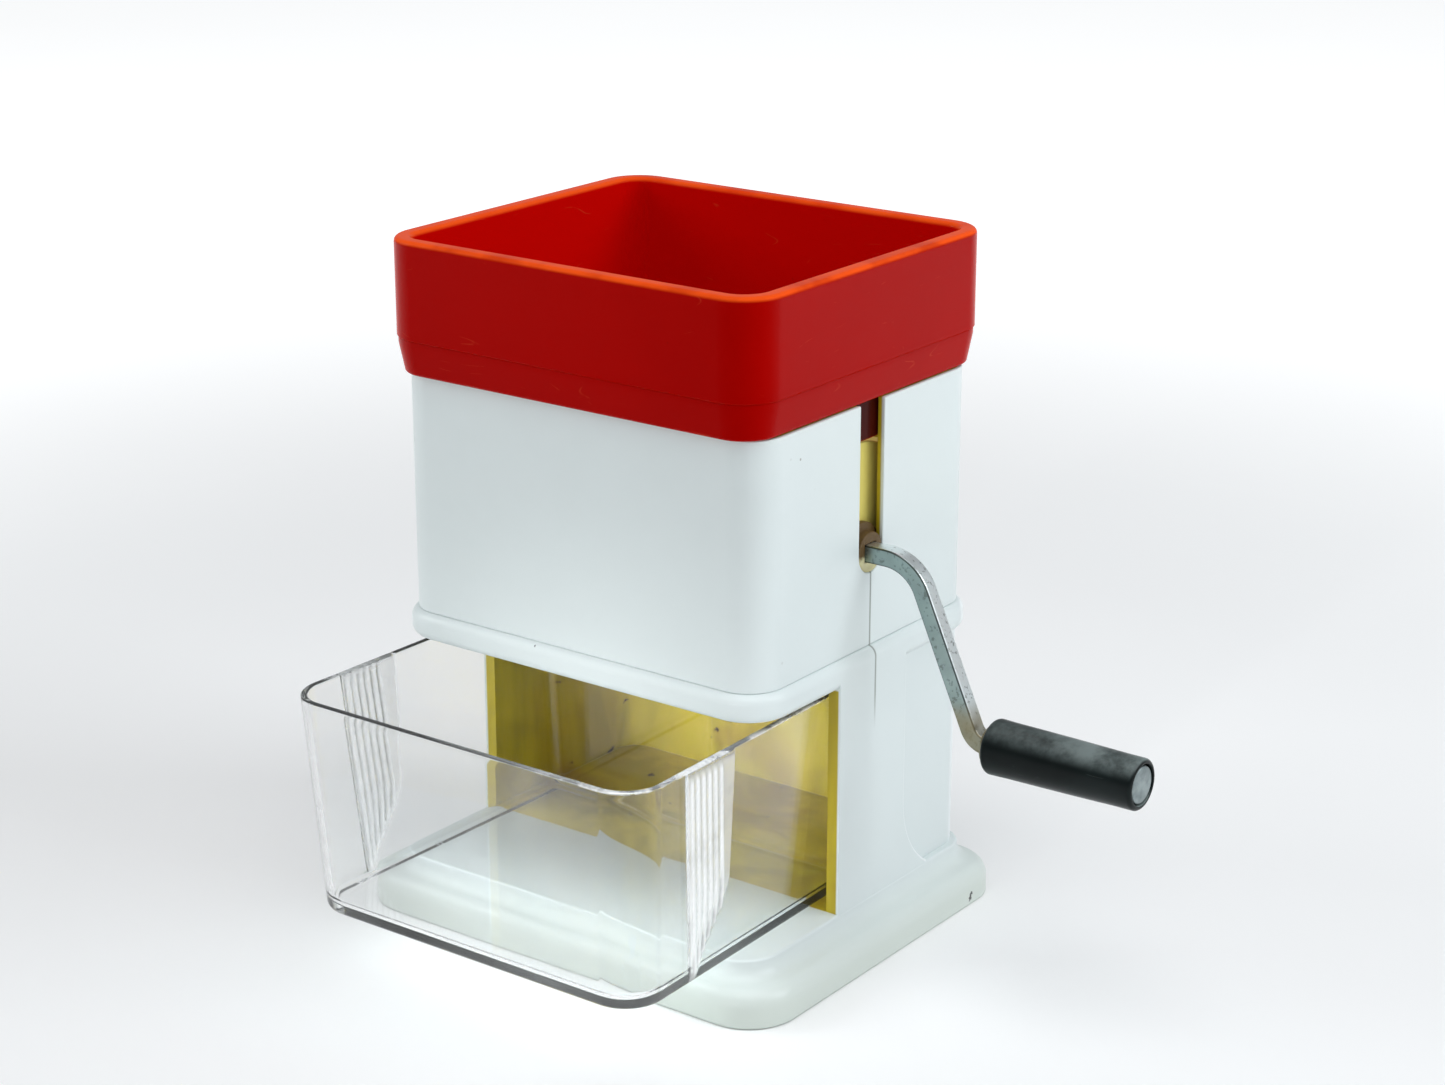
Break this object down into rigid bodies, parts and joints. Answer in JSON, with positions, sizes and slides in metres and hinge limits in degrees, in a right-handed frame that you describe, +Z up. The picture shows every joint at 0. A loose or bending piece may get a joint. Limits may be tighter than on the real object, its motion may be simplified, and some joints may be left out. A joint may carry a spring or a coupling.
{
  "type": "rotary grater",
  "caption": "Hand-cranked box grater: open feed hopper over a toothed rotor, bent square crank with a loose grip, and a clear catch drawer sliding out of the stand.",
  "frame": {"origin": "On the underside of the base plate, below the middle of the housing", "axes": "+X points along the shaft to the crank, -Y to the front of the drawer, +Z up; the shaft's axis is parallel to X at y = 0"},
  "size_m": [0.2226, 0.161, 0.2],
  "materials": {
    "white_plastic": "lightly scuffed white moulding with a cool grey-green cast",
    "stained_plastic": "white moulding stained ochre by food",
    "red_plastic": "glossy red moulding with fine scratches",
    "clear_plastic": "clear, slightly scratched",
    "plated_steel": "dull worn plating",
    "blade_steel": "stamped sheet",
    "screw_steel": "zinc plated",
    "black_plastic": "satin black moulding"
  },
  "bodies": {
    "stand_body": {"foot": "white_plastic", "column": "white_plastic", "base_plate": "white_plastic", "base_screws": "screw_steel", "housing_front": "white_plastic", "housing_rear": "white_plastic", "housing_screws": "screw_steel", "comb_front": "stained_plastic", "comb_rear": "stained_plastic", "comb_screws": "screw_steel"},
    "rotor": {"crank_bar": "plated_steel", "bush_right": "stained_plastic", "bush_left": "stained_plastic", "end_plate_right": "stained_plastic", "end_plate_left": "stained_plastic", "grip_washer": "plated_steel", "grip_rivet": "plated_steel", "disc_1": "blade_steel", "disc_2": "blade_steel", "disc_3": "blade_steel", "disc_4": "blade_steel", "disc_5": "blade_steel", "disc_6": "blade_steel", "disc_7": "blade_steel", "disc_8": "blade_steel", "disc_9": "blade_steel", "disc_10": "blade_steel", "spacer_1": "stained_plastic", "spacer_2": "stained_plastic", "spacer_3": "stained_plastic", "spacer_4": "stained_plastic", "spacer_5": "stained_plastic", "spacer_6": "stained_plastic", "spacer_7": "stained_plastic", "spacer_8": "stained_plastic", "spacer_9": "stained_plastic", "spacer_10": "stained_plastic", "spacer_11": "stained_plastic"},
    "grip_body": {"grip": "black_plastic"},
    "drawer_body": {"drawer": "clear_plastic"},
    "hopper": {"hopper_bin": "red_plastic", "hopper_collar": "red_plastic"}
  },
  "joints": [
    {"name": "crank_turn", "type": "hinge", "parent": "stand_body", "child": "rotor", "pos_m": [0, 0, 0.1185], "axis": [1, 0, 0], "continuous": true},
    {"name": "grip_turn", "type": "hinge", "parent": "rotor", "child": "grip_body", "pos_m": [0.125, 0, 0.0713], "axis": [1, 0, 0], "continuous": true},
    {"name": "drawer_slide", "type": "slide", "parent": "stand_body", "child": "drawer_body", "axis": [0, -1, 0], "range_m": [-0.0425, 0.071]},
    {"name": "hopper_lift", "type": "slide", "parent": "stand_body", "child": "hopper", "axis": [0, 0, 1], "range_m": [0, 0.06]}
  ]
}
